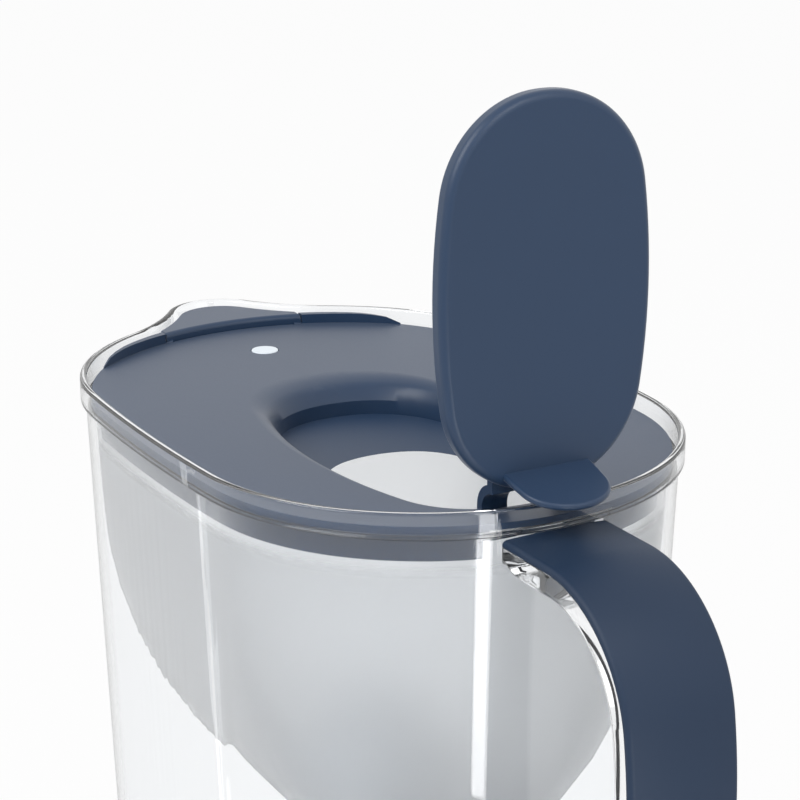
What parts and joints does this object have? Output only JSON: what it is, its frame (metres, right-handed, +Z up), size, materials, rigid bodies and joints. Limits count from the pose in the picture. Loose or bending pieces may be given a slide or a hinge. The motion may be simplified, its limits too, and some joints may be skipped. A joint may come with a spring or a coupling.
{
  "type": "water filter pitcher",
  "caption": "Clear oval water jug with a spout, a curved handle, a lift-out hopper with a filter cartridge, and a lid with a flip cover, a spout flap and a change indicator.",
  "frame": {"origin": "centre of the resting face of the base", "axes": "+Z up, spout towards -X, handle towards +X, +Y across the jug"},
  "size_m": [0.2725, 0.1392, 0.3662],
  "materials": {
    "clear_plastic": "clear moulded SAN, gloss",
    "hopper_plastic": "translucent moulded SAN, satin",
    "blue_plastic": "fine-textured moulded ABS, matte",
    "grip_rubber": "soft-touch TPE, matte",
    "lens_plastic": "opal moulded PC, gloss",
    "white_plastic": "moulded PP, satin",
    "seal_rubber": "moulded silicone",
    "granules": "carbon and resin granules",
    "screen_mesh": "woven PP mesh",
    "steel": "ground stainless steel",
    "board": "glass-epoxy board",
    "black_plastic": "moulded ABS"
  },
  "bodies": {
    "jug": {"jug": "clear_plastic", "handle_grip": "grip_rubber"},
    "hopper": {"hopper": "hopper_plastic"},
    "cartridge": {"cartridge_housing": "white_plastic", "cartridge_cap": "white_plastic", "cartridge_seal": "seal_rubber", "filter_granules": "granules", "cartridge_screen": "screen_mesh"},
    "lid": {"lid_shell": "blue_plastic", "flip_hinge_pin": "steel", "indicator_housing": "black_plastic", "indicator_cover": "black_plastic", "cover_seal": "seal_rubber", "coin_cell": "steel", "battery_contact": "steel", "circuit_board": "board", "indicator_led": "lens_plastic", "indicator_switch": "black_plastic"},
    "flip_lid": {"flip_lid": "blue_plastic", "flip_lid_liner": "blue_plastic"},
    "spout_flap": {"spout_flap": "blue_plastic"},
    "indicator_button": {"indicator_button": "lens_plastic"}
  },
  "joints": [
    {"name": "hopper_lift", "type": "slide", "parent": "jug", "child": "hopper", "axis": [0, 0, 1], "range_m": [0, 0.215]},
    {"name": "cartridge_lift", "type": "slide", "parent": "hopper", "child": "cartridge", "axis": [0, 0, 1], "range_m": [0, 0.06]},
    {"name": "lid_lift", "type": "slide", "parent": "hopper", "child": "lid", "axis": [0, 0, 1], "range_m": [0, 0.04]},
    {"name": "flip_lid_hinge", "type": "hinge", "parent": "lid", "child": "flip_lid", "pos_m": [0.088, 0, 0.2576], "axis": [0, 1, 0], "range_deg": [-89.3, 0]},
    {"name": "spout_flap_hinge", "type": "hinge", "parent": "lid", "child": "spout_flap", "pos_m": [-0.0903, 0, 0.2613], "axis": [0, 1, 0], "range_deg": [0, 35]},
    {"name": "indicator_press", "type": "slide", "parent": "lid", "child": "indicator_button", "axis": [0, 0, -1], "range_m": [0, 0.0006], "stiffness_N_per_m": 400}
  ]
}
